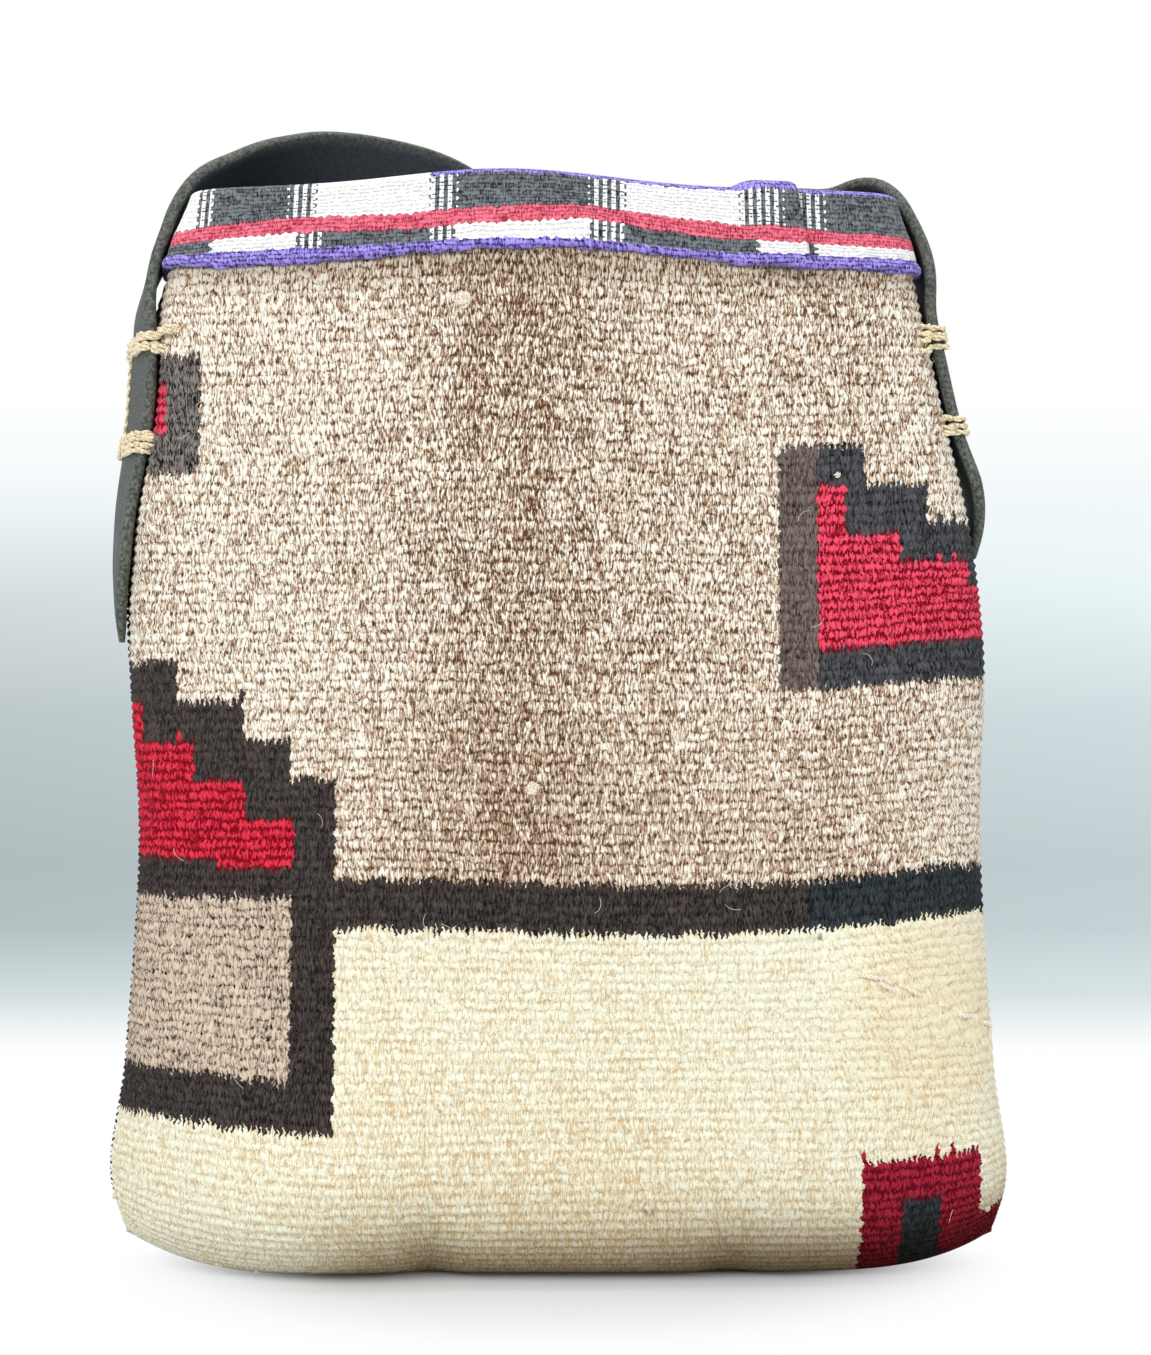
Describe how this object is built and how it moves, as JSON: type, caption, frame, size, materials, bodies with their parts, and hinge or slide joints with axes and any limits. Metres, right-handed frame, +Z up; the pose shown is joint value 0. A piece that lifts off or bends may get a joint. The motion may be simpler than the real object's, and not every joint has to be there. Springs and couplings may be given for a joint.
{
  "type": "handbag",
  "caption": "Flat pouch handbag sewn from folded tapestry-woven wool, with an open bound mouth and a laced leather shoulder strap drooping behind it.",
  "frame": {"origin": "on the floor, under the middle of the flat part of the bag's base", "axes": "+X to the right seen from the front, +Y towards the back, where the strap droops, +Z up through the mouth"},
  "size_m": [0.2555, 0.1092, 0.3279],
  "materials": {
    "rug_wool": "matte tapestry weave, tan above and cream below, with black and red stepped fields",
    "band_cloth": "woven cotton and wool strip in black, white, red and purple",
    "strap_leather": "matte dark grey-green, worn paler on its edges",
    "lashing_cord": "waxed twisted cord"
  },
  "bodies": {
    "root": {"bag_body": "rug_wool", "mouth_band": "band_cloth", "shoulder_strap": "strap_leather", "front_left_lashing": "lashing_cord", "back_left_lashing": "lashing_cord", "front_right_lashing": "lashing_cord", "back_right_lashing": "lashing_cord"}
  },
  "joints": []
}
